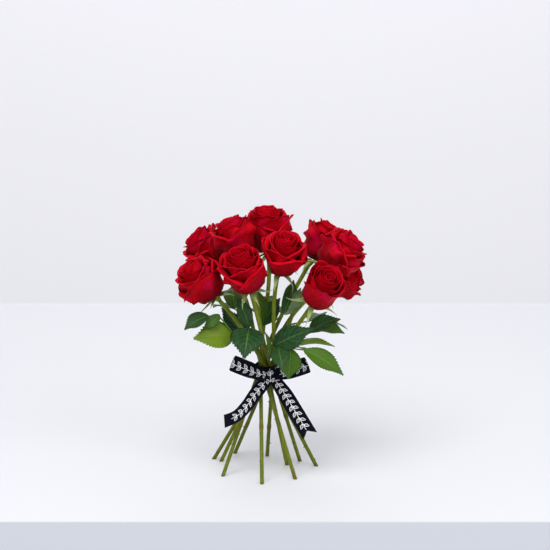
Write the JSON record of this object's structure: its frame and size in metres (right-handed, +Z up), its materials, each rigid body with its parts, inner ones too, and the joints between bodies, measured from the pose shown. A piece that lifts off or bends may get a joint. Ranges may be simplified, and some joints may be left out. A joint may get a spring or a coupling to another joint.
{
  "type": "bunch of roses",
  "caption": "Hand-tied bunch of red roses on leafy stems, spirally crossed at one tie with a patterned ribbon bow, standing unheld on splayed cut ends.",
  "frame": {"origin": "on the surface that the cut stems stand on, below the middle of the bunch's box", "axes": "+Z up the bunch to the highest bloom; the ribbon bow faces -Y; +X is to the right as the bow is faced"},
  "size_m": [0.2416, 0.1738, 0.3374],
  "materials": {
    "petal": "velvety rose petal, deep crimson red",
    "stem": "fresh green stem and satin leaf",
    "leaf": "satin dark green leaf, grey-green beneath",
    "sepal": "pale green sepal",
    "twine": "twisted natural twine",
    "ribbon": "woven black ribbon",
    "ribbon_print": "white leafy sprig print on ribbon"
  },
  "bodies": {
    "root": {"rose_01_bloom": "petal", "rose_02_bloom": "petal", "rose_03_bloom": "petal", "rose_04_bloom": "petal", "rose_05_bloom": "petal", "rose_06_bloom": "petal", "rose_07_bloom": "petal", "rose_08_bloom": "petal", "rose_09_bloom": "petal", "rose_10_bloom": "petal", "rose_01_stem": "stem", "rose_02_stem": "stem", "rose_03_stem": "stem", "rose_04_stem": "stem", "rose_05_stem": "stem", "rose_06_stem": "stem", "rose_07_stem": "stem", "rose_08_stem": "stem", "rose_09_stem": "stem", "rose_10_stem": "stem", "binding_twine": "twine", "ribbon_bow": "ribbon"}
  },
  "joints": []
}
